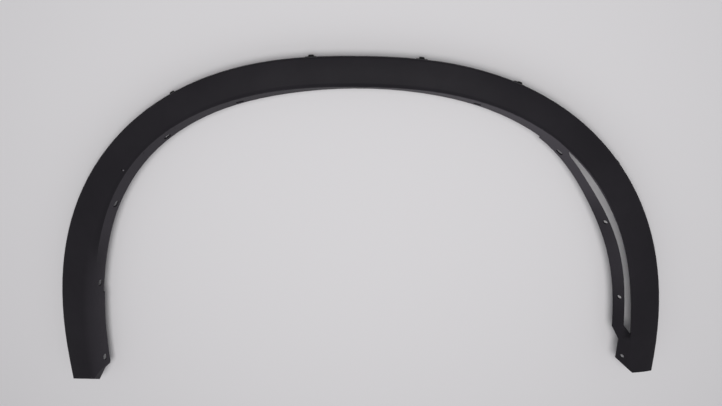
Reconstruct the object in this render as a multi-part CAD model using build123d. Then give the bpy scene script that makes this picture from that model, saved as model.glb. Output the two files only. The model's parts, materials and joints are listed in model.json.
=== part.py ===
from build123d import *
import os
from math import copysign, cos, radians, sin, sqrt

# Wheel arch trim: one thin moulding of dark plastic that frames a car's wheel opening,
# with a row of push-in clips carried on its back. It lies face up on its clip tips.
# Millimetres. X runs across the arch, Y up the arch, Z out of the car's side.
# Angles are in degrees round the arch: 0 at the right foot, 90 at the crown, 180 at the left foot.

# Outer edge, seen square on: half of a superellipse
HALF_SPAN = 450.0
RISE = 528.0
FULLNESS = 2.447
SECTIONS = 17

# How the moulding stands: the outer edge's height over the clip tips, and the bow of its shoulders
EDGE_HEIGHT = 27.0
SHOULDER_BOW = 3.0

# Section: an outer lip, a broken edge, a crowned face, a crest round and a return flange
WALL = 2.5
LIP = 4.0
FACE_SLOPE_AT_EDGE = 26.0
FACE_SLOPE_AT_CREST = 8.0

# Section values that change round the arch, given at key angles and eased between them
FACE_WIDTH = ((22, 36.6), (58, 29.5), (122, 29.5), (158, 34.5))
CREST_RADIUS = ((122, 6.0), (158, 14.0))
FLANGE_FALL = ((45, 41.0), (60, 54.0), (72, 62.0), (90, 69.0), (105, 59.0), (125, 56.0), (145, 60.0))
FLANGE_LENGTH = ((35, 28.5), (50, 31.0), (63, 21.5), (125, 21.0), (160, 19.0))

# Air slot between the crest and the flange of the right leg: it closes in a round from its shoulder to its
# tip, and its foot is slanted. The setback is how far down the flange it starts.
SLOT_FOOT = 15.9
SLOT_SHOULDER = 46.0
SLOT_TIP = 55.5
SLOT_WIDTH = ((18, 11.4), (29, 8.7), (46, 11.2))
SLOT_SETBACK = ((34, 0.0), (48, 2.5))
SLOT_SLANT = 1.6
SLOT_POINTS = 9

# Reliefs along the flange's free edge: (start, end, depth at start, depth at end)
CROWN_RELIEF = (60.0, 68.0, 3.0, 0.3)
LEFT_RELIEF = (136.0, 158.0, 0.3, 4.0)
RELIEF_POINTS = 5

# Right foot: its flange is narrower below a slanted step
FOOT_STEP_TOP = 16.8
FOOT_STEP_FOOT = 13.7
FOOT_NARROWING = 11.0
FOOT_TAPER = 5.0

# Cut ends of the two feet: an end line from the outer edge, then a chamfer, both leaning up the leg
LEFT_END = 7.3
LEFT_END_WIDTH = 40.0
LEFT_CHAMFER_SLOPE = 1.86
LEFT_END_LEAN = 0.84
RIGHT_END = 47.5
RIGHT_END_WIDTH = 34.5
RIGHT_CHAMFER_SLOPE = 0.92
RIGHT_END_LEAN = 0.34
END_WALL = 2.5

# Holes through the flange: (angle, distance back from the free edge)
ROUND_HOLES = ((10.1, 18.5), (23.7, 10.0), (40.1, 11.2))
RIGHT_OBLONG_HOLES = ((55.8, 7.5), (72.0, 8.0))
LEFT_OBLONG_HOLES = ((108.1, 7.0), (121.7, 7.0), (138.0, 8.0), (155.4, 9.0), (173.6, 8.0))
HOLE_WIDTH = 6.5
OBLONG_LENGTH = 11.0

# Clip houses on the back: a plate with an open slot, on three walls
CLIP_ANGLES = (9.0, 28.0, 48.0, 67.3, 81.3, 96.6, 117.1, 136.0, 154.0, 171.0)
CLIP_INSET = 6.6
HOUSE_WALL = 1.6
HOUSE_PLATE = 2.0
HOUSE_DEPTH = 7.0
CLIP_CLEARANCE = 0.25

# Clips: a head that sits on the house's plate, a neck through it, a collar under it, a barbed blade.
# The collar and the blade are widest across the arch.
HEAD_LENGTH = 10.8
HEAD_WIDTH = 7.8
HEAD_THICKNESS = 2.0
NECK_WIDTH = 5.0
COLLAR_REACH = 14.6
COLLAR_LENGTH = 6.8
COLLAR_THICKNESS = 1.6
COLLAR_ROUND = 1.5
STEM_WIDTH = 4.8
STEM_LENGTH = 4.5
BARB_FLARE = 2.0
BARB_LENGTH = 5.5
BLADE_WIDTH = 8.0
BLADE_THICKNESS = 4.4
BLADE_TIP = 4.0

# Ribs that brace the flange against the face's back
RIB_ANGLES = (63.0, 76.0, 89.0, 102.0, 115.0, 128.0, 144.0, 162.0)
RIB_THICKNESS = 1.6
RIB_REACH = 13.0

# How far cutters reach past what they cut: through the whole height, and through one wall
CLEAR = 60.0
PAST_WALL = 8.0


def at_angle(keys, angle):
    """A section value at an angle, eased between its key angles and level beyond the outer ones."""
    if angle <= keys[0][0]:
        return keys[0][1]
    for (low, first), (high, last) in zip(keys, keys[1:]):
        if angle <= high:
            share = (angle - low) / (high - low)
            return first + (last - first) * share * share * (3 - 2 * share)
    return keys[-1][1]


def edge_point(angle):
    """Point of the outer edge seen square on."""
    across = cos(radians(angle))
    up = sin(radians(angle))
    reach = (abs(across / HALF_SPAN) ** FULLNESS + abs(up / RISE) ** FULLNESS) ** (-1 / FULLNESS)
    return Vector(reach * across, reach * up, 0)


def inward(angle):
    """Unit vector square to the outer edge, towards the wheel."""
    point = edge_point(angle)
    across = abs(point.X / HALF_SPAN) ** (FULLNESS - 1) / HALF_SPAN
    up = abs(point.Y / RISE) ** (FULLNESS - 1) / RISE
    return -Vector(copysign(across, point.X), copysign(up, point.Y), 0).normalized()


def edge_height(angle):
    return EDGE_HEIGHT + SHOULDER_BOW * sin(radians(2 * angle)) ** 2


def station(angle):
    """Plane across the arch: local X points inward, local Y up, local Z along the arch."""
    normal = inward(angle)
    origin = edge_point(angle) + Vector(0, 0, edge_height(angle))
    return Plane(origin=origin, x_dir=normal, z_dir=(normal.Y, -normal.X, 0))


def turn(start, radius, heading_from, heading_to):
    """Where a right-hand arc ends that starts at a point with one heading and leaves with another."""
    a = radians(heading_from)
    b = radians(heading_to)
    return Vector(start.X + radius * (sin(a) - sin(b)), start.Y + radius * (cos(b) - cos(a)))


def skin(angle, inset):
    """The section's path at a depth under the show surface, from the lip's foot to the flange's end.

    A flat breaks the outer edge, as wide as a round of the wall's own size, so the inside corner is sharp.
    The crest is round on the show side and a flat on the inside.
    """
    width = at_angle(FACE_WIDTH, angle)
    face_radius = width / (sin(radians(FACE_SLOPE_AT_EDGE)) - sin(radians(FACE_SLOPE_AT_CREST)))
    fall = at_angle(FLANGE_FALL, angle)
    bends = (
        (WALL, 90.0, FACE_SLOPE_AT_EDGE, False),
        (face_radius, FACE_SLOPE_AT_EDGE, FACE_SLOPE_AT_CREST, True),
        (at_angle(CREST_RADIUS, angle), FACE_SLOPE_AT_CREST, -fall, inset == 0),
    )
    here = Vector(inset, LIP)
    edges = [Edge.make_line(Vector(inset, 0), here)]
    for radius, first, last, is_round in bends:
        if radius > inset:
            middle = turn(here, radius - inset, first, (first + last) / 2)
            end = turn(here, radius - inset, first, last)
            bend = Edge.make_three_point_arc(here, middle, end) if is_round else Edge.make_line(here, end)
            edges.append(bend)
            here = end
    down = Vector(cos(radians(fall)), -sin(radians(fall)))
    edges.append(Edge.make_line(here, here + down * at_angle(FLANGE_LENGTH, angle)))
    return edges


def along_arch(section):
    """Smooth solid through a section drawn at every station of the arch."""
    angles = [180 * i / (SECTIONS - 1) for i in range(SECTIONS)]
    return Solid.make_loft([station(angle) * section(angle) for angle in angles])


def wall_section(angle):
    """The moulding's own section: its skin and the same skin a wall deeper."""
    outer = skin(angle, 0)
    inner = skin(angle, WALL)
    foot = Edge.make_line(outer[0] @ 0, inner[0] @ 0)
    end = Edge.make_line(outer[-1] @ 1, inner[-1] @ 1)
    return Wire(outer + inner + [foot, end])


def backing_section(angle):
    """All that lies behind the middle of the wall, down past the clip tips."""
    path = skin(angle, WALL / 2)
    first = path[0] @ 0
    last = path[-1] @ 1
    below = Vector(0, -EDGE_HEIGHT - SHOULDER_BOW)
    outer_foot = Vector(first.X, below.Y)
    inner_foot = Vector(last.X, below.Y)
    corners = (last, inner_foot, outer_foot, first)
    return Wire(path + [Edge.make_line(a, b) for a, b in zip(corners, corners[1:])])


def flange_place(angle, down):
    """Plane on the flange's show side: local X down the flange, local Z out of the surface."""
    here = station(angle)
    flange = skin(angle, 0)[-1]
    slope = flange.tangent_at(0)
    local = flange.position_at(0) + slope * down
    x_dir = here.x_dir * slope.X + here.y_dir * slope.Y
    z_dir = here.y_dir * slope.X - here.x_dir * slope.Y
    return Plane(origin=here.from_local_coords(local), x_dir=x_dir, z_dir=z_dir)


def from_free_edge(angle, back):
    """Place on the flange a distance back from its free edge."""
    return flange_place(angle, at_angle(FLANGE_LENGTH, angle) - back)


def plan(place):
    """A place's origin seen square on."""
    return Vector(place.origin.X, place.origin.Y, 0)


def outline(*points):
    return make_face(Polyline(*points, close=True))


def upright(face, lean=0.0):
    """Cutter through the whole height over an outline drawn at the lip's top, leaning up the arch."""
    level = Pos(0, 0, EDGE_HEIGHT + LIP) * face
    return extrude(level, CLEAR, dir=(0, lean, 1), both=True)


def air_slot():
    """Crescent that opens the flange beside the crest. Its points crowd towards the tip's round."""
    near = []
    far = []
    for i in range(SLOT_POINTS):
        share = (i / (SLOT_POINTS - 1)) ** 2
        angle = SLOT_TIP + (SLOT_FOOT - SLOT_TIP) * share
        past_shoulder = max(0, (angle - SLOT_SHOULDER) / (SLOT_TIP - SLOT_SHOULDER))
        width = at_angle(SLOT_WIDTH, angle) * sqrt(1 - past_shoulder ** 2)
        setback = at_angle(SLOT_SETBACK, angle)
        near.append(plan(flange_place(angle, setback)))
        far.append(plan(flange_place(angle + SLOT_SLANT * share, setback + width)))
    edges = [Edge.make_spline(near), Edge.make_spline(far), Edge.make_line(near[-1], far[-1])]
    return upright(make_face(edges))


def edge_relief(start, end, depth_at_start, depth_at_end):
    """Strip cut off the flange's free edge, its depth changing evenly along it."""
    kept = []
    waste = []
    for i in range(RELIEF_POINTS):
        share = i / (RELIEF_POINTS - 1)
        angle = start + (end - start) * share
        depth = depth_at_start + (depth_at_end - depth_at_start) * share
        kept.append(plan(from_free_edge(angle, depth)))
        waste.append(plan(from_free_edge(angle, -PAST_WALL)))
    sides = [Edge.make_line(kept[i], waste[i]) for i in (0, -1)]
    return upright(make_face([Edge.make_spline(kept), Edge.make_spline(waste)] + sides))


def right_foot_step():
    """What is cut off the right foot's flange, below a slanted step."""
    top = plan(from_free_edge(FOOT_STEP_TOP, -WALL))
    foot = plan(from_free_edge(FOOT_STEP_FOOT, FOOT_NARROWING))
    inside = top.X - CLEAR
    return outline((top.X, top.Y), (foot.X, foot.Y), (foot.X + FOOT_TAPER, 0), (inside, 0), (inside, top.Y))


def foot_end(side, rise, width, slope):
    """What lies past a foot's end line and its chamfer, on the right (1) or left (-1) of the arch."""
    outer = HALF_SPAN + CLEAR
    corner = HALF_SPAN - width
    inside = corner - CLEAR
    above = rise + CLEAR * slope
    points = ((outer, rise), (corner, rise), (inside, above), (inside, -CLEAR), (outer, -CLEAR))
    return outline(*[(side * x, y) for x, y in points])


def left_end():
    return foot_end(-1, LEFT_END, LEFT_END_WIDTH, LEFT_CHAMFER_SLOPE)


def right_end():
    return foot_end(1, RIGHT_END, RIGHT_END_WIDTH, RIGHT_CHAMFER_SLOPE)


def flange_holes():
    """Round and oblong cutters square to the flange."""
    round_hole = Circle(HOLE_WIDTH / 2)
    oblong_hole = SlotOverall(OBLONG_LENGTH, HOLE_WIDTH, rotation=90)
    holes = [from_free_edge(*where) * round_hole for where in ROUND_HOLES]
    holes += [from_free_edge(*where) * oblong_hole for where in RIGHT_OBLONG_HOLES + LEFT_OBLONG_HOLES]
    return [extrude(hole, PAST_WALL, both=True) for hole in holes]


def behind(angle, from_inset, to_inset, low, high, thickness):
    """Block on the moulding's back, let into the middle of its wall, as thick along the arch as asked."""
    middle = Pos((from_inset + to_inset) / 2, (low + high) / 2)
    window = middle * Rectangle(to_inset - from_inset, high - low)
    return extrude(make_face(backing_section(angle)) & window, thickness / 2, both=True)


def clip_house(angle):
    """House open towards the wheel: a slotted plate that the clip's head slides onto, on three walls."""
    outer = CLIP_INSET - HEAD_WIDTH / 2 - CLIP_CLEARANCE
    inner = CLIP_INSET + HEAD_WIDTH / 2
    room = HEAD_LENGTH + 2 * CLIP_CLEARANCE
    gap = NECK_WIDTH + 2 * CLIP_CLEARANCE
    floor = HOUSE_PLATE - HOUSE_DEPTH
    house = behind(angle, outer - HOUSE_WALL, inner, -HOUSE_DEPTH, CLEAR, room + 2 * HOUSE_WALL)
    neck_way = Box(inner, 2 * HOUSE_PLATE, gap, align=(Align.MIN, Align.CENTER, Align.CENTER))
    house -= behind(angle, outer, inner + PAST_WALL, floor, CLEAR, room)
    house -= Pos(CLIP_INSET - gap / 2, floor - HOUSE_PLATE, 0) * neck_way
    return station(angle) * house


def rib(angle):
    """Thin gusset in the corner between face and flange."""
    corner = skin(angle, 0)[-1] @ 0
    foot = corner.Y - RIB_REACH
    plate = behind(angle, corner.X - RIB_REACH, corner.X + RIB_REACH, foot, CLEAR, RIB_THICKNESS)
    return station(angle) * plate


def closed_feet(body):
    """The body with both feet cut to their ends, and a thin wall closing the back of each cut."""
    whole = Box(4 * HALF_SPAN, 4 * RISE, CLEAR, align=(Align.CENTER, Align.CENTER, Align.MIN))
    room = along_arch(backing_section) & Pos(0, 0, EDGE_HEIGHT) * whole
    for end, lean in ((left_end(), LEFT_END_LEAN), (right_end(), RIGHT_END_LEAN)):
        waste = upright(end, lean)
        wall = upright(offset(end, END_WALL, kind=Kind.INTERSECTION), lean) - waste
        body = body - waste + (room & wall)
    return body


def arch_moulding():
    body = closed_feet(along_arch(wall_section))
    body -= [upright(right_foot_step()), air_slot(), edge_relief(*CROWN_RELIEF), edge_relief(*LEFT_RELIEF)]
    body += [clip_house(angle) for angle in CLIP_ANGLES] + [rib(angle) for angle in RIB_ANGLES]
    return body - flange_holes()


def blade():
    """The clip's flat barbed blade: stem, flare, barb and a tapered tip."""
    top = -HOUSE_DEPTH - COLLAR_THICKNESS
    flare = top - STEM_LENGTH
    barb = flare - BARB_FLARE
    taper = barb - BARB_LENGTH
    half = [
        (STEM_WIDTH / 2, top),
        (STEM_WIDTH / 2, flare),
        (BLADE_WIDTH / 2, barb),
        (BLADE_WIDTH / 2, taper),
        (BLADE_TIP / 2, -EDGE_HEIGHT),
    ]
    shape = outline(*half, *[(-x, y) for x, y in reversed(half)])
    return extrude(shape, BLADE_THICKNESS / 2, both=True)


def clip():
    """One push-in clip, local Y up."""
    floor = HOUSE_PLATE - HOUSE_DEPTH
    head = Pos(0, floor + HEAD_THICKNESS / 2, 0) * Box(HEAD_WIDTH, HEAD_THICKNESS, HEAD_LENGTH)
    neck = Pos(0, floor - HOUSE_PLATE / 2, 0) * Box(NECK_WIDTH, HOUSE_PLATE, NECK_WIDTH)
    plate = RectangleRounded(COLLAR_REACH, COLLAR_LENGTH, COLLAR_ROUND)
    collar = Pos(0, -HOUSE_DEPTH, 0) * Rot(90, 0, 0) * extrude(plate, COLLAR_THICKNESS)
    return head + neck + collar + blade()


def retaining_clips():
    one = clip()
    return [station(angle) * Pos(CLIP_INSET, 0, 0) * one for angle in CLIP_ANGLES]


def main():
    moulding = arch_moulding()
    clips = Compound(retaining_clips())
    box = moulding.bounding_box().add(clips.bounding_box())
    middle = (box.min + box.max) / 2
    seat = Pos(-middle.X, -middle.Y, -box.min.Z)
    os.makedirs("parts", exist_ok=True)
    export_step(seat * moulding, "parts/arch_moulding.step")
    export_step(seat * clips, "parts/retaining_clips.step")
    print("shift", seat.position, "size", box.size)


main()
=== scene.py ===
import json
import math

import bmesh
import bpy
from mathutils import Matrix, Vector


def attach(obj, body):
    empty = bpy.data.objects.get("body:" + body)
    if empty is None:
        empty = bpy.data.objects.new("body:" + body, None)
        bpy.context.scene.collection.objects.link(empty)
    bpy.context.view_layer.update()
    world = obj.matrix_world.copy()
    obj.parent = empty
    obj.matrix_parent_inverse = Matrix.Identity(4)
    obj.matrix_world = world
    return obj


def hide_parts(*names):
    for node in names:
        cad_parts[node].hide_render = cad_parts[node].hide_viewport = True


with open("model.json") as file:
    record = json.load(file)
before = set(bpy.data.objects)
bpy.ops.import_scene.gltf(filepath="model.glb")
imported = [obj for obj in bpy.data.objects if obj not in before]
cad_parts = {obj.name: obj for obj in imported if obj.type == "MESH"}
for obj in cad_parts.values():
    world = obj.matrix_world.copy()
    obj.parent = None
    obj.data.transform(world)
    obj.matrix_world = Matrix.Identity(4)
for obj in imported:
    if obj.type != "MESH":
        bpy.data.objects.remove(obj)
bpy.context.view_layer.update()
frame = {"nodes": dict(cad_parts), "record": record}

# A wheel arch trim of dark grained plastic, lying face up on a pale floor.
# Metres, in the part's own frame: +X across the arch, +Y up to its crown, +Z out of the car's side.

MM = 0.001

# The photograph's view
CAMERA_PLACE = Vector((0.02712, 0.49363, 0.92359))
CAMERA_TILT = math.radians(26.0)
CAMERA_SIDE = math.radians(-1.317)
CAMERA_ROLL = math.radians(0.878)
CAMERA_LENS_MM = 36.0
CAMERA_SENSOR_MM = 36.0
CAMERA_NEAR = 0.01

# Plastic: colours are linear
PLASTIC = (0.0160, 0.0147, 0.0178, 1.0)
# Paler colour, used for the bloom and for the painted sheen on the flange
PLASTIC_BLOOM_AND_SHEEN = (0.0850, 0.0785, 0.0920, 1.0)
CLIP_PLASTIC = (0.0200, 0.0195, 0.0205, 1.0)
# Paler clip colour, used for the bloom and for painted sheen on clip walls that face the arch's middle
CLIP_BLOOM_AND_SHEEN = (0.0300, 0.0292, 0.0306, 1.0)
PLASTIC_SPECULAR = 0.05
PLASTIC_ROUGHNESS = 0.48
CLIP_ROUGHNESS = 0.42
ROUGHNESS_SPREAD = 0.07

# Pebble grain: cells, a finer noise over them, and the heights between which the gloss changes
GRAIN_CELL = 0.9 * MM
GRAIN_SMOOTHNESS = 0.6
GRAIN_DEPTH = 0.06 * MM
CLIP_GRAIN_DEPTH = 0.015 * MM
FINE_GRAIN_PER_METRE = 3200.0
FINE_GRAIN_DETAIL = 2.0
FINE_GRAIN_SHARE = 0.45
GRAIN_LOW = 0.3
GRAIN_HIGH = 0.9

# Faint uneven bloom of handled plastic
BLOOM_PER_METRE = 9.0
BLOOM_DETAIL = 5.0
BLOOM_ROUGHNESS = 0.62
BLOOM_START = 0.36
BLOOM_FULL = 0.72
BLOOM_WEIGHT = 0.05

# The flange's painted sheen: a paler colour painted on walls that face the arch's middle and are so steep
# that their normal's Z is under a start value, standing in for the floor's glancing reflection. On the
# right leg it is less steep, and the painted sheen goes from pale at the shoulder to dark at the foot.
ARCH_MIDDLE = (0.0, -0.10, 0.03)
FLANGE_START_LEFT = 0.62
FLANGE_START_RIGHT = 0.80
FLANGE_FADE = 0.07
FLANGE_LEFT_OF = -0.10
FLANGE_RIGHT_OF = 0.25
FLANGE_SHEEN_LEFT = 0.37
FLANGE_SHEEN_RIGHT = 0.80
FLANGE_DARK_BELOW = -0.20
FLANGE_PALE_ABOVE = 0.24

# On the lower left leg the face goes over to the flange's painted sheen bit by bit, between two shares of
# the way to the outer edge
GENTLE_DARK_AT = 0.930
GENTLE_PALE_AT = 0.855
GENTLE_FROM = 0.02
GENTLE_FULL_BELOW = -0.05

# Small nicks by the left shoulder's crest
NICK_PALE = (0.16, 0.155, 0.165, 1.0)
NICK_DARK = (0.002, 0.002, 0.002, 1.0)
PALE_NICKS = ((-0.3136, 0.1083, 0.0451),)
DARK_NICKS = ((-0.3155, 0.1089, 0.0452), (-0.2851, 0.1314, 0.0393))
NICK_RADIUS = 1.25 * MM

# Outer edge of the arch, which the clips follow: half of a superellipse over the middle of the foot line
ARCH_FOOT = Vector((0.00027, -0.26597))
HALF_SPAN = 0.450
RISE = 0.528
FULLNESS = 2.447

# Clip levels in millimetres over its tip: (half across the arch, half along it, corner round, height)
COLLAR_AND_HEAD = (
    (7.05, 3.15, 1.25, 18.4),
    (7.30, 3.40, 1.50, 18.65),
    (7.30, 3.40, 1.50, 19.75),
    (7.05, 3.15, 1.25, 20.0),
    (2.50, 2.50, 0.40, 20.0),
    (2.50, 2.50, 0.40, 22.0),
    (3.65, 5.15, 0.55, 22.0),
    (3.90, 5.40, 0.80, 22.25),
    (3.90, 5.40, 0.80, 23.75),
    (3.65, 5.15, 0.55, 24.0),
)
CORNER_STEPS = 4

# Clip blade in millimetres, half of its outline from the collar down:
# stem, core, slit, toothed spring wing and tip
BLADE_HALF = (
    (2.4, 18.4),
    (2.4, 15.6),
    (1.4, 14.8),
    (1.3, 4.6),
    (1.6, 4.1),
    (1.9, 4.1),
    (2.2, 4.6),
    (2.8, 12.4),
    (2.9, 13.2),
    (4.0, 11.8),
    (3.6, 10.1),
    (4.0, 10.0),
    (3.6, 8.3),
    (4.0, 8.2),
    (3.7, 6.0),
    (2.0, 0.0),
)
BLADE_THICKNESS = 4.4
CLIP_SIZE = 1.0
CLIP_SHARP_ANGLE = math.radians(34.0)

# Floor and light
FLOOR = (0.665, 0.655, 0.672, 1.0)
FLOOR_SIZE = 8.0
FLOOR_ROUGHNESS = 0.75
SKY = (0.97, 0.98, 1.0, 1.0)
SKY_TOWARDS = (0.0, -0.8, 0.6)
SKY_MIDDLE = 0.29
SKY_CHANGE = 0.16
LAMP_PLACE = Vector((0.05, 0.60, 2.2))
LAMP_AIM = Vector((0.02, -0.18, 0.0))
LAMP_SIZE = 1.3
LAMP_SPREAD = math.radians(95.0)
LAMP_POWER = 11.0
LAMP_COLOUR = (1.0, 0.99, 0.98)


def add(tree, kind, **values):
    """A node of a kind, with attributes and unlinked inputs set by name."""
    node = tree.nodes.new(kind)
    for name, value in values.items():
        if name in node.inputs:
            node.inputs[name].default_value = value
        else:
            setattr(node, name, value)
    return node


def link(tree, source, out, target, into):
    """Joins one node's output to another's input."""
    tree.links.new(source.outputs[out], target.inputs[into])


def ramp(tree, source, out, start, end):
    """A smooth mask that rises from 0 at one value to 1 at another."""
    node = add(tree, "ShaderNodeMapRange", interpolation_type="SMOOTHSTEP")
    node.inputs["From Min"].default_value = start
    node.inputs["From Max"].default_value = end
    link(tree, source, out, node, "Value")
    return node


def group_tree(name, inputs, outputs):
    """An empty shader node group with named number and vector inputs and number outputs."""
    tree = bpy.data.node_groups.new(name, "ShaderNodeTree")
    for label, kind, value in inputs:
        socket = tree.interface.new_socket(label, in_out="INPUT", socket_type=kind)
        if value is not None:
            socket.default_value = value
    for label in outputs:
        tree.interface.new_socket(label, in_out="OUTPUT", socket_type="NodeSocketFloat")
    return tree, tree.nodes.new("NodeGroupInput"), tree.nodes.new("NodeGroupOutput")


def moulded_grain():
    """Fine pebble grain of a spark-eroded mould: small cells with a little roughness between them."""
    inputs = [("Place", "NodeSocketVector", None), ("Cells per metre", "NodeSocketFloat", 1 / GRAIN_CELL)]
    tree, source, result = group_tree("moulded_grain", inputs, ("Height", "Gloss"))
    cells = add(tree, "ShaderNodeTexVoronoi", feature="SMOOTH_F1", Smoothness=GRAIN_SMOOTHNESS)
    fine = add(tree, "ShaderNodeTexNoise", Scale=FINE_GRAIN_PER_METRE, Detail=FINE_GRAIN_DETAIL)
    both = add(tree, "ShaderNodeMath", operation="MULTIPLY_ADD")
    both.inputs[1].default_value = FINE_GRAIN_SHARE
    gloss = add(tree, "ShaderNodeMapRange")
    gloss.inputs["From Min"].default_value = GRAIN_LOW
    gloss.inputs["From Max"].default_value = GRAIN_HIGH
    link(tree, source, "Place", cells, "Vector")
    link(tree, source, "Cells per metre", cells, "Scale")
    link(tree, source, "Place", fine, "Vector")
    link(tree, fine, "Fac", both, 0)
    link(tree, cells, "Distance", both, 2)
    link(tree, both, "Value", gloss, "Value")
    link(tree, both, "Value", result, "Height")
    link(tree, gloss, "Result", result, "Gloss")
    return tree


def edge_share(tree, source):
    """How far out a place is, from 0 at the middle of the foot line to 1 at the arch's outer edge."""
    offset = add(tree, "ShaderNodeVectorMath", operation="SUBTRACT")
    offset.inputs[1].default_value = (*ARCH_FOOT, 0.0)
    scaled = add(tree, "ShaderNodeVectorMath", operation="DIVIDE")
    scaled.inputs[1].default_value = (HALF_SPAN, RISE, 1.0)
    unsigned = add(tree, "ShaderNodeVectorMath", operation="ABSOLUTE")
    parts = add(tree, "ShaderNodeSeparateXYZ")
    total = add(tree, "ShaderNodeMath", operation="ADD")
    share = add(tree, "ShaderNodeMath", operation="POWER")
    share.inputs[1].default_value = 1 / FULLNESS
    link(tree, source, "Place", offset, 0)
    link(tree, offset, "Vector", scaled, 0)
    link(tree, scaled, "Vector", unsigned, 0)
    link(tree, unsigned, "Vector", parts, "Vector")
    for slot, axis in enumerate("XY"):
        power = add(tree, "ShaderNodeMath", operation="POWER")
        power.inputs[1].default_value = FULLNESS
        link(tree, parts, axis, power, 0)
        link(tree, power, "Value", total, slot)
    link(tree, total, "Value", share, 0)
    return share


def bloom_mask(tree, source):
    """Broad uneven bloom of handled plastic."""
    noise = add(
        tree, "ShaderNodeTexNoise", Scale=BLOOM_PER_METRE, Detail=BLOOM_DETAIL, Roughness=BLOOM_ROUGHNESS,
    )
    link(tree, source, "Place", noise, "Vector")
    return ramp(tree, noise, "Fac", BLOOM_START, BLOOM_FULL)


def inner_walls(tree, source, place):
    """Mask of the steep walls that face the arch's middle, where the sheen is painted."""
    facing = add(tree, "ShaderNodeSeparateXYZ")
    start = ramp(tree, place, "X", FLANGE_LEFT_OF, FLANGE_RIGHT_OF)
    start.inputs["To Min"].default_value = FLANGE_START_LEFT
    start.inputs["To Max"].default_value = FLANGE_START_RIGHT
    end = add(tree, "ShaderNodeMath", operation="SUBTRACT")
    end.inputs[1].default_value = FLANGE_FADE
    steep = ramp(tree, facing, "Z", 0.0, 1.0)
    from_middle = add(tree, "ShaderNodeVectorMath", operation="SUBTRACT")
    from_middle.inputs[1].default_value = ARCH_MIDDLE
    outward = add(tree, "ShaderNodeVectorMath", operation="DOT_PRODUCT")
    inner = add(tree, "ShaderNodeMath", operation="LESS_THAN")
    inner.inputs[1].default_value = 0.0
    walls = add(tree, "ShaderNodeMath", operation="MULTIPLY")
    link(tree, source, "Facing", facing, "Vector")
    link(tree, start, "Result", end, 0)
    link(tree, start, "Result", steep, "From Min")
    link(tree, end, "Value", steep, "From Max")
    link(tree, source, "Place", from_middle, 0)
    link(tree, from_middle, "Vector", outward, 0)
    link(tree, source, "Facing", outward, 1)
    link(tree, outward, "Value", inner, 0)
    link(tree, steep, "Result", walls, 0)
    link(tree, inner, "Value", walls, 1)
    return walls


def sheen_places(tree, source, place):
    """Mask of the flange's painted sheen: the inner walls, with a gentle way over to them on the lower
    left leg.
    """
    walls = inner_walls(tree, source, place)
    gentle = ramp(tree, edge_share(tree, source), "Value", GENTLE_DARK_AT, GENTLE_PALE_AT)
    low = ramp(tree, place, "Y", GENTLE_FROM, GENTLE_FULL_BELOW)
    left = ramp(tree, place, "X", FLANGE_RIGHT_OF, FLANGE_LEFT_OF)
    low_left = add(tree, "ShaderNodeMath", operation="MULTIPLY")
    pale = add(tree, "ShaderNodeMix", data_type="FLOAT")
    link(tree, low, "Result", low_left, 0)
    link(tree, left, "Result", low_left, 1)
    link(tree, low_left, "Value", pale, "Factor")
    link(tree, walls, "Value", pale, "A")
    link(tree, gentle, "Result", pale, "B")
    return pale


def flange_sheen_level(tree, place):
    """How strong the flange's painted sheen is: even on the left, and paler higher up on the right."""
    right = ramp(tree, place, "X", FLANGE_LEFT_OF, FLANGE_RIGHT_OF)
    right_sheen = ramp(tree, place, "Y", FLANGE_DARK_BELOW, FLANGE_PALE_ABOVE)
    right_sheen.inputs["To Max"].default_value = FLANGE_SHEEN_RIGHT
    tone = add(tree, "ShaderNodeMix", data_type="FLOAT", A=FLANGE_SHEEN_LEFT)
    link(tree, right, "Result", tone, "Factor")
    link(tree, right_sheen, "Result", tone, "B")
    return tone


def bloom_and_sheen_masks():
    """Masks for the bloom and the flange's painted sheen, from a place on the plastic and the way it faces
    there.
    """
    inputs = [("Place", "NodeSocketVector", None), ("Facing", "NodeSocketVector", None)]
    tree, source, result = group_tree("bloom_and_sheen_masks", inputs, ("Bloom", "Flange sheen"))
    place = add(tree, "ShaderNodeSeparateXYZ")
    flange = add(tree, "ShaderNodeMath", operation="MULTIPLY")
    link(tree, source, "Place", place, "Vector")
    link(tree, sheen_places(tree, source, place), "Result", flange, 0)
    link(tree, flange_sheen_level(tree, place), "Result", flange, 1)
    link(tree, bloom_mask(tree, source), "Result", result, "Bloom")
    link(tree, flange, "Value", result, "Flange sheen")
    return tree


def new_material(name):
    """A material with only a Principled shader, its node tree and that shader."""
    material = bpy.data.materials.new(name)
    material.use_nodes = True
    tree = material.node_tree
    tree.nodes.clear()
    shader = tree.nodes.new("ShaderNodeBsdfPrincipled")
    out = tree.nodes.new("ShaderNodeOutputMaterial")
    link(tree, shader, "BSDF", out, "Surface")
    return material, tree, shader


def mixed(tree, mask, first, second):
    """A colour that goes from the first to the second with a mask. The first is a colour or a Mix node."""
    node = add(tree, "ShaderNodeMix", data_type="RGBA")
    node.inputs["B"].default_value = second
    if isinstance(first, tuple):
        node.inputs["A"].default_value = first
    else:
        link(tree, first, "Result", node, "A")
    tree.links.new(mask, node.inputs["Factor"])
    return node


def nicked(tree, place, colour, spots, tone):
    """The colour with a small round nick of another tone at each spot."""
    for spot in spots:
        away = add(tree, "ShaderNodeVectorMath", operation="DISTANCE")
        away.inputs[1].default_value = spot
        link(tree, place, "Object", away, 0)
        mask = ramp(tree, away, "Value", NICK_RADIUS, NICK_RADIUS / 2)
        colour = mixed(tree, mask.outputs["Result"], colour, tone)
    return colour


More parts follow.
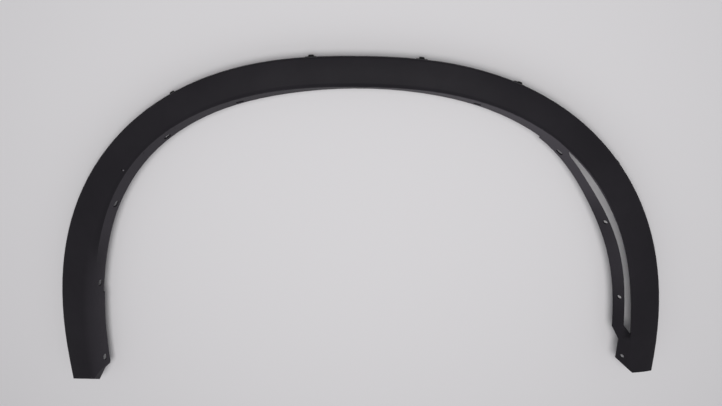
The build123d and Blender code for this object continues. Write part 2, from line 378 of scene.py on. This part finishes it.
def grained_plastic(name, colour, pale, roughness, grain_depth, grain, tone, nicks=()):
    """Moulded plastic: a dark colour, a little paler in blooms, with a painted sheen on the flange, over a
    pebble grain.
    """
    material, tree, shader = new_material(name)
    place = add(tree, "ShaderNodeTexCoord")
    grain_node = add(tree, "ShaderNodeGroup", node_tree=grain)
    tone_node = add(tree, "ShaderNodeGroup", node_tree=tone)
    bloom = add(tree, "ShaderNodeMath", operation="MULTIPLY")
    bloom.inputs[1].default_value = BLOOM_WEIGHT
    bloom_and_sheen_share = add(tree, "ShaderNodeMath", operation="ADD", use_clamp=True)
    spread = add(tree, "ShaderNodeMapRange")
    spread.inputs["To Min"].default_value = roughness - ROUGHNESS_SPREAD
    spread.inputs["To Max"].default_value = roughness + ROUGHNESS_SPREAD
    bump = add(tree, "ShaderNodeBump", Distance=grain_depth, Strength=1.0)
    for node in (grain_node, tone_node):
        link(tree, place, "Object", node, "Place")
    link(tree, place, "Normal", tone_node, "Facing")
    link(tree, tone_node, "Bloom", bloom, 0)
    link(tree, tone_node, "Flange sheen", bloom_and_sheen_share, 0)
    link(tree, bloom, "Value", bloom_and_sheen_share, 1)
    # The paler colour is mixed in for the bloom and as painted sheen on the flange's steep inner walls
    tint = mixed(tree, bloom_and_sheen_share.outputs["Value"], colour, pale)
    for spots, nick_tone in nicks:
        tint = nicked(tree, place, tint, spots, nick_tone)
    link(tree, tint, "Result", shader, "Base Color")
    link(tree, grain_node, "Gloss", spread, "Value")
    link(tree, spread, "Result", shader, "Roughness")
    link(tree, grain_node, "Height", bump, "Height")
    link(tree, bump, "Normal", shader, "Normal")
    shader.inputs["Specular IOR Level"].default_value = PLASTIC_SPECULAR
    return material


def rounded_ring(mesh, half_across, half_along, corner, height):
    """Vertices of a rounded rectangle round the clip's axis, at a height."""
    ring = []
    for quarter in range(4):
        sign_x = 1 if quarter in (0, 3) else -1
        sign_y = 1 if quarter in (0, 1) else -1
        for step in range(CORNER_STEPS + 1):
            turn = math.pi / 2 * (quarter + step / CORNER_STEPS)
            x = sign_x * (half_across - corner) + corner * math.cos(turn)
            y = sign_y * (half_along - corner) + corner * math.sin(turn)
            ring.append(mesh.verts.new(Vector((x, y, height)) * MM))
    return ring


def collar_and_head(mesh, stem):
    """The clip's stack above the blade: collar, neck and head, with broken edges.

    The collar's underside joins the four corners of the blade's stem.
    """
    rings = [rounded_ring(mesh, *level) for level in COLLAR_AND_HEAD]
    mesh.faces.new(rings[-1])
    under = rings[0]
    for quarter, corner in enumerate(stem):
        first = quarter * (CORNER_STEPS + 1)
        last = first + CORNER_STEPS
        for i in range(first, last):
            mesh.faces.new((under[i + 1], under[i], corner))
        next_first = under[(last + 1) % len(under)]
        next_corner = stem[(quarter + 1) % len(stem)]
        mesh.faces.new((next_first, under[last], corner, next_corner))
    for lower, upper in zip(rings, rings[1:]):
        count = len(lower)
        for i in range(count):
            after = (i + 1) % count
            mesh.faces.new((lower[i], lower[after], upper[after], upper[i]))


def spring_blade(mesh):
    """The clip's barbed blade: a core with two toothed spring wings that join it at the tip.

    It is open at the top, whose four corners it gives back.
    """
    outline = list(BLADE_HALF) + [(-x, z) for x, z in reversed(BLADE_HALF)]
    sides = []
    for along in (-BLADE_THICKNESS / 2, BLADE_THICKNESS / 2):
        sides.append([mesh.verts.new(Vector((x, along, z)) * MM) for x, z in outline])
    front, back = sides
    mesh.faces.new(front)
    mesh.faces.new(reversed(back))
    for i in range(len(outline) - 1):
        mesh.faces.new((front[i + 1], front[i], back[i], back[i + 1]))
    return back[0], back[-1], front[-1], front[0]


def one_clip():
    """Mesh of one push-in clip, its tip at the origin and its head up."""
    build = bmesh.new()
    collar_and_head(build, spring_blade(build))
    bmesh.ops.recalc_face_normals(build, faces=build.faces)
    mesh = bpy.data.meshes.new("one_clip")
    build.to_mesh(mesh)
    build.free()
    mesh.shade_smooth()
    mesh.set_sharp_from_angle(angle=CLIP_SHARP_ANGLE)
    return mesh


def clip_places():
    """Tips of the clips, and how far each is turned about Z so that it faces the wheel."""
    mounts = frame["record"]["mounts"]
    tips = [Vector(mount["pos_m"]) for mount in mounts if mount["name"].startswith("body_clip")]
    turns = []
    for tip in tips:
        across = (tip.x - ARCH_FOOT.x) / HALF_SPAN
        up = (tip.y - ARCH_FOOT.y) / RISE
        normal_x = math.copysign(abs(across) ** (FULLNESS - 1) / HALF_SPAN, across)
        normal_y = up ** (FULLNESS - 1) / RISE
        turns.append(math.atan2(-normal_y, -normal_x))
    return tips, turns


def clip_row_tree():
    """Geometry nodes that set a clip on every point, turned by the point's own angle."""
    tree = bpy.data.node_groups.new("clip_row", "GeometryNodeTree")
    tree.interface.new_socket("Points", in_out="INPUT", socket_type="NodeSocketGeometry")
    tree.interface.new_socket("Clip", in_out="INPUT", socket_type="NodeSocketObject")
    tree.interface.new_socket("Clip size", in_out="INPUT", socket_type="NodeSocketFloat")
    tree.interface.new_socket("Finish", in_out="INPUT", socket_type="NodeSocketMaterial")
    tree.interface.new_socket("Clips", in_out="OUTPUT", socket_type="NodeSocketGeometry")
    source = tree.nodes.new("NodeGroupInput")
    result = tree.nodes.new("NodeGroupOutput")
    clip = add(tree, "GeometryNodeObjectInfo")
    turn = add(tree, "GeometryNodeInputNamedAttribute", data_type="FLOAT", Name="turn")
    about_z = add(tree, "ShaderNodeCombineXYZ")
    rotation = add(tree, "FunctionNodeEulerToRotation")
    place = add(tree, "GeometryNodeInstanceOnPoints")
    real = add(tree, "GeometryNodeRealizeInstances")
    finish = add(tree, "GeometryNodeSetMaterial")
    link(tree, source, "Points", place, "Points")
    link(tree, source, "Clip", clip, "Object")
    link(tree, clip, "Geometry", place, "Instance")
    link(tree, source, "Clip size", place, "Scale")
    link(tree, turn, "Attribute", about_z, "Z")
    link(tree, about_z, "Vector", rotation, "Euler")
    link(tree, rotation, "Rotation", place, "Rotation")
    link(tree, place, "Instances", real, "Geometry")
    link(tree, real, "Geometry", finish, "Geometry")
    link(tree, source, "Finish", finish, "Material")
    link(tree, finish, "Geometry", result, "Clips")
    return tree


def linked_object(name, data):
    """An object in the scene, at the origin."""
    piece = bpy.data.objects.new(name, data)
    bpy.context.scene.collection.objects.link(piece)
    return piece


def push_clips(material):
    """The row of clips as one plain mesh that stands for the CAD node."""
    tips, turns = clip_places()
    points = bpy.data.meshes.new("clip_points")
    points.from_pydata(tips, [], [])
    points.attributes.new("turn", "FLOAT", "POINT").data.foreach_set("value", turns)
    row = linked_object("clip_points", points)
    pattern = linked_object("one_clip", one_clip())
    tree = clip_row_tree()
    modifier = row.modifiers.new("clip_row", "NODES")
    modifier.node_group = tree
    values = {"Clip": pattern, "Clip size": CLIP_SIZE, "Finish": material}
    for socket in tree.interface.items_tree:
        if socket.in_out == "INPUT" and socket.name in values:
            modifier[socket.identifier] = values[socket.name]
    graph = bpy.context.evaluated_depsgraph_get()
    mesh = bpy.data.meshes.new_from_object(row.evaluated_get(graph), depsgraph=graph)
    bpy.data.objects.remove(row)
    bpy.data.objects.remove(pattern)
    piece = linked_object("push_clips", mesh)
    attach(piece, "root")
    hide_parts("retaining_clips")


def floor():
    """A plain pale floor at the part's lowest level."""
    mesh = bpy.data.meshes.new("floor")
    half = FLOOR_SIZE / 2
    corners = [(-half, -half, 0), (half, -half, 0), (half, half, 0), (-half, half, 0)]
    mesh.from_pydata(corners, [], [(0, 1, 2, 3)])
    piece = linked_object("floor", mesh)
    material, _, shader = new_material("pale_floor")
    shader.inputs["Base Color"].default_value = FLOOR
    shader.inputs["Roughness"].default_value = FLOOR_ROUGHNESS
    mesh.materials.append(material)


def ceiling_lamp():
    """One broad soft lamp, high up beyond the crown. Its narrowed beam leaves the floor's sides darker."""
    lamp = bpy.data.lights.new("ceiling_lamp", "AREA")
    lamp.shape = "DISK"
    lamp.size = LAMP_SIZE
    lamp.spread = LAMP_SPREAD
    lamp.energy = LAMP_POWER
    lamp.color = LAMP_COLOUR
    piece = linked_object("ceiling_lamp", lamp)
    piece.location = LAMP_PLACE
    piece.rotation_euler = (LAMP_AIM - LAMP_PLACE).to_track_quat("-Z", "Y").to_euler()


def soft_room():
    """Dim all-round light, stronger from above and from the side of the feet."""
    world = bpy.data.worlds.new("soft_room")
    world.use_nodes = True
    tree = world.node_tree
    background = tree.nodes["Background"]
    background.inputs["Color"].default_value = SKY
    place = add(tree, "ShaderNodeTexCoord")
    facing = add(tree, "ShaderNodeVectorMath", operation="DOT_PRODUCT")
    facing.inputs[1].default_value = SKY_TOWARDS
    fade = add(tree, "ShaderNodeMath", operation="MULTIPLY_ADD", use_clamp=True)
    fade.inputs[1].default_value = SKY_CHANGE
    fade.inputs[2].default_value = SKY_MIDDLE
    link(tree, place, "Generated", facing, 0)
    link(tree, facing, "Value", fade, 0)
    link(tree, fade, "Value", background, "Strength")
    bpy.context.scene.world = world


def camera():
    """The photograph's camera, above and beyond the crown, looking down and back at the arch."""
    forward = Vector((
        math.sin(CAMERA_SIDE),
        -math.sin(CAMERA_TILT) * math.cos(CAMERA_SIDE),
        -math.cos(CAMERA_TILT) * math.cos(CAMERA_SIDE),
    ))
    level = (Vector((1, 0, 0)) - forward * forward.x).normalized()
    above = level.cross(forward)
    right = level * math.cos(CAMERA_ROLL) + above * math.sin(CAMERA_ROLL)
    up = above * math.cos(CAMERA_ROLL) - level * math.sin(CAMERA_ROLL)
    lens = bpy.data.cameras.new("camera")
    lens.sensor_fit = "HORIZONTAL"
    lens.sensor_width = CAMERA_SENSOR_MM
    lens.lens = CAMERA_LENS_MM
    lens.clip_start = CAMERA_NEAR
    piece = linked_object("camera", lens)
    turn = Matrix((right, up, -forward)).transposed().to_4x4()
    piece.matrix_world = Matrix.Translation(CAMERA_PLACE) @ turn
    bpy.context.scene.camera = piece


def main():
    grain = moulded_grain()
    tone = bloom_and_sheen_masks()
    trim = grained_plastic(
        "trim_plastic", PLASTIC, PLASTIC_BLOOM_AND_SHEEN, PLASTIC_ROUGHNESS, GRAIN_DEPTH, grain, tone,
        nicks=((DARK_NICKS, NICK_DARK), (PALE_NICKS, NICK_PALE)),
    )
    clips = grained_plastic(
        "clip_plastic", CLIP_PLASTIC, CLIP_BLOOM_AND_SHEEN, CLIP_ROUGHNESS, CLIP_GRAIN_DEPTH, grain, tone,
    )
    moulding = frame["nodes"]["arch_moulding"]
    moulding.data.materials.clear()
    moulding.data.materials.append(trim)
    push_clips(clips)
    floor()
    soft_room()
    ceiling_lamp()
    camera()
    bpy.context.scene.view_settings.view_transform = "Standard"


main()
